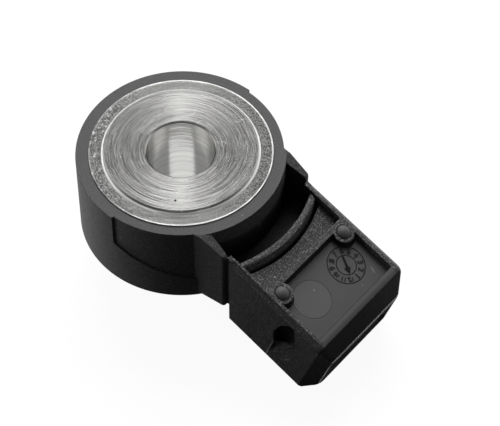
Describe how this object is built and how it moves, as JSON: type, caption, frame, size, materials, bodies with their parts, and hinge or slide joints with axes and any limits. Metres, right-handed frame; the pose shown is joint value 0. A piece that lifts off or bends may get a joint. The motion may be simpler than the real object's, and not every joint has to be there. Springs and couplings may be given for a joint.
{
  "type": "engine knock sensor",
  "caption": "Ring-shaped knock sensor: steel sleeve clamped by a centre bolt, piezo stack in a black moulding, drooping plug connector.",
  "frame": {"origin": "on the bore axis, at the plastic back face of the head", "axes": "+Z along the bore axis towards the raised sensing disc; +X from the bore towards the plug connector, which droops 20 degrees below X; +Y completes the right-handed frame"},
  "size_m": [0.0418, 0.0256, 0.0188],
  "materials": {
    "housing_plastic": "matte black, fine moulded grain",
    "sleeve_steel": "satin, turned",
    "insulator_film": "amber film",
    "contact_brass": "stamped",
    "piezo_ceramic": "matt fired",
    "mass_steel": "turned",
    "spring_steel": "hardened",
    "nut_steel": "turned",
    "terminal_tinned": "tinned",
    "resistor_ceramic": "lacquered",
    "resistor_cap": "plated",
    "lead_tinned": "tinned wire",
    "solder": "satin"
  },
  "bodies": {
    "root": {"housing": "housing_plastic", "flanged_sleeve": "sleeve_steel", "insulating_washer_upper": "insulator_film", "insulating_washer_lower": "insulator_film", "insulating_tube": "insulator_film", "contact_ring_upper": "contact_brass", "contact_ring_lower": "contact_brass", "piezo_ring": "piezo_ceramic", "seismic_mass": "mass_steel", "disc_spring": "spring_steel", "ring_nut": "nut_steel", "terminal_far": "terminal_tinned", "terminal_near": "terminal_tinned", "resistor_rod": "resistor_ceramic", "resistor_caps": "resistor_cap", "resistor_leads": "lead_tinned", "solder_beads": "solder"}
  },
  "joints": []
}
